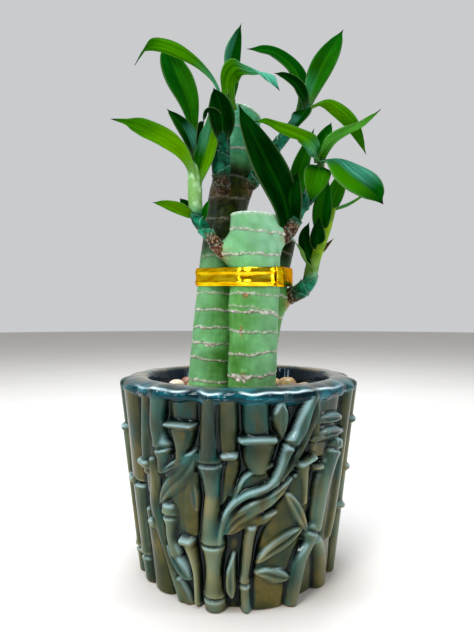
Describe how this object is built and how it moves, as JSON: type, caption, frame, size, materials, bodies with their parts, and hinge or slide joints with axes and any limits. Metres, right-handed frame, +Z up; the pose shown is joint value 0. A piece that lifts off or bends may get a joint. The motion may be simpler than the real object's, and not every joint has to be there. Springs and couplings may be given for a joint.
{
  "type": "potted lucky bamboo",
  "caption": "Lucky bamboo: cut canes tied with a gold ribbon, with leafy side shoots, standing in pebbles in a round glazed pot with a bamboo relief.",
  "frame": {"origin": "centre of the pot's flat base, on the surface that it stands on", "axes": "+Z up along the canes, -Y towards the front, +X to the right seen from the front"},
  "size_m": [0.1332, 0.1186, 0.2858],
  "materials": {
    "glaze": "gloss",
    "grit": "matte",
    "pebble_white": "satin",
    "pebble_cream": "satin",
    "pebble_tan": "satin",
    "pebble_pink": "satin",
    "pebble_red": "satin",
    "cane": "satin",
    "gold_film": "polished",
    "shoot": "satin",
    "leaf_bright": "gloss",
    "leaf_green": "gloss",
    "leaf_dark": "gloss",
    "leaf_pale": "satin",
    "leaf_dry": "matte"
  },
  "bodies": {
    "root": {"pot": "glaze", "growing_medium": "grit", "pebble_01": "pebble_white", "pebble_02": "pebble_red", "pebble_03": "pebble_pink", "pebble_04": "pebble_cream", "pebble_05": "pebble_tan", "pebble_06": "pebble_tan", "pebble_07": "pebble_white", "pebble_08": "pebble_tan", "pebble_09": "pebble_cream", "pebble_10": "pebble_pink", "pebble_11": "pebble_white", "pebble_12": "pebble_cream", "pebble_13": "pebble_pink", "pebble_14": "pebble_tan", "cane_front": "cane", "cane_left": "cane", "cane_right": "cane", "ribbon": "gold_film", "ribbon_overlap": "gold_film", "shoot_left": "shoot", "leaf_left_long": "leaf_bright", "leaf_left_upright": "leaf_green", "leaf_left_short": "leaf_dark", "leaf_left_curl": "leaf_dark", "leaf_left_inner": "leaf_bright", "leaf_left_low_tip": "leaf_bright", "leaf_left_low_stub": "leaf_dark", "leaf_left_low_spur": "leaf_green", "shoot_middle": "shoot", "leaf_middle_arch": "leaf_bright", "leaf_middle_tall": "leaf_green", "leaf_middle_twist": "leaf_bright", "leaf_middle_front": "leaf_dark", "leaf_middle_hook": "leaf_dark", "shoot_right": "shoot", "leaf_right_great": "leaf_dark", "leaf_right_round": "leaf_dark", "leaf_right_sweep": "leaf_bright", "leaf_right_small": "leaf_green", "leaf_right_lift": "leaf_bright", "leaf_right_broad": "leaf_green", "leaf_right_droop": "leaf_green", "leaf_right_back": "leaf_green", "shoot_upper": "shoot", "leaf_upper_tall": "leaf_green", "leaf_upper_arch": "leaf_green", "leaf_upper_under": "leaf_dark", "leaf_upper_bow": "leaf_bright", "leaf_upper_curl": "leaf_dark", "shoot_rear": "shoot", "leaf_rear_front": "leaf_green", "leaf_rear_strip": "leaf_green", "leaf_rear_edge": "leaf_bright", "leaf_rear_hook": "leaf_dark", "leaf_rear_inner": "leaf_dark", "leaf_rear_pale": "leaf_pale", "leaf_rear_dry_tip": "leaf_dry"}
  },
  "joints": []
}
